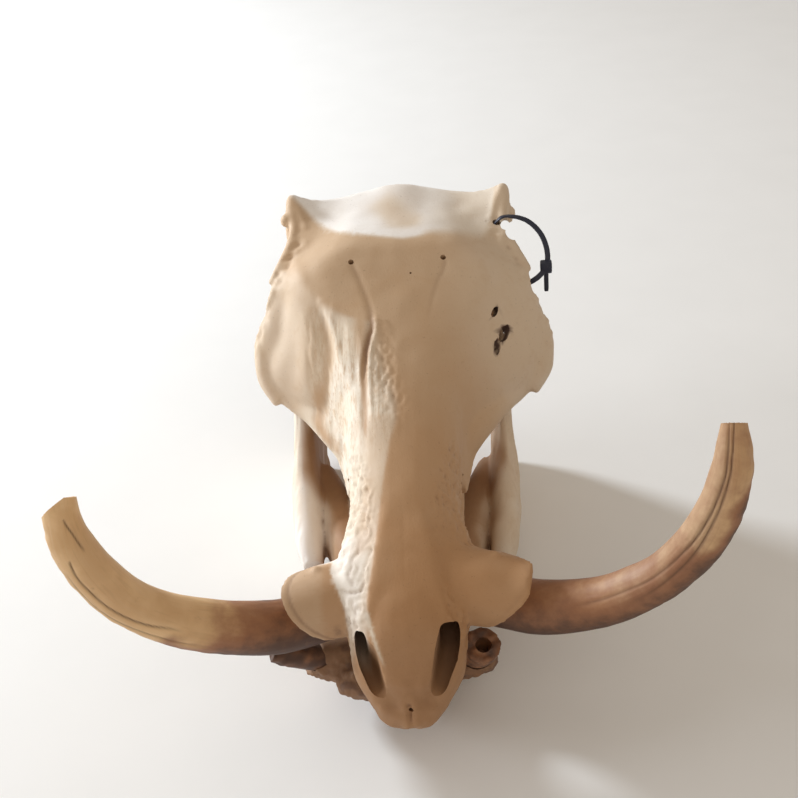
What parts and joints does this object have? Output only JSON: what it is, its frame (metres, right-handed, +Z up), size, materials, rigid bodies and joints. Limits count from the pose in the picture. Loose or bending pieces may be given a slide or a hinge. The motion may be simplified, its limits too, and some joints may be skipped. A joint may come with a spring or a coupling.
{
  "type": "warthog skull",
  "caption": "Skull of a male warthog with its lower jaw closed, long curved upper tusks and a cable tie looped through one eye socket, resting on its jaw.",
  "frame": {"origin": "on the floor under the middle of the bounding box", "axes": "the skull looks along -Y; +X is the animal's left side; +Z is up"},
  "size_m": [0.3824, 0.3798, 0.2402],
  "materials": {
    "bone": "dry cream bone, a little rough",
    "ivory": "honey brown tusk, half polished",
    "nylon": "black nylon"
  },
  "bodies": {
    "root": {"cranium": "bone", "mandible": "bone", "upper_tusk_left": "ivory", "upper_tusk_right": "ivory", "lower_tusk_left": "ivory", "lower_tusk_right": "ivory", "cable_tie": "nylon"}
  },
  "joints": []
}
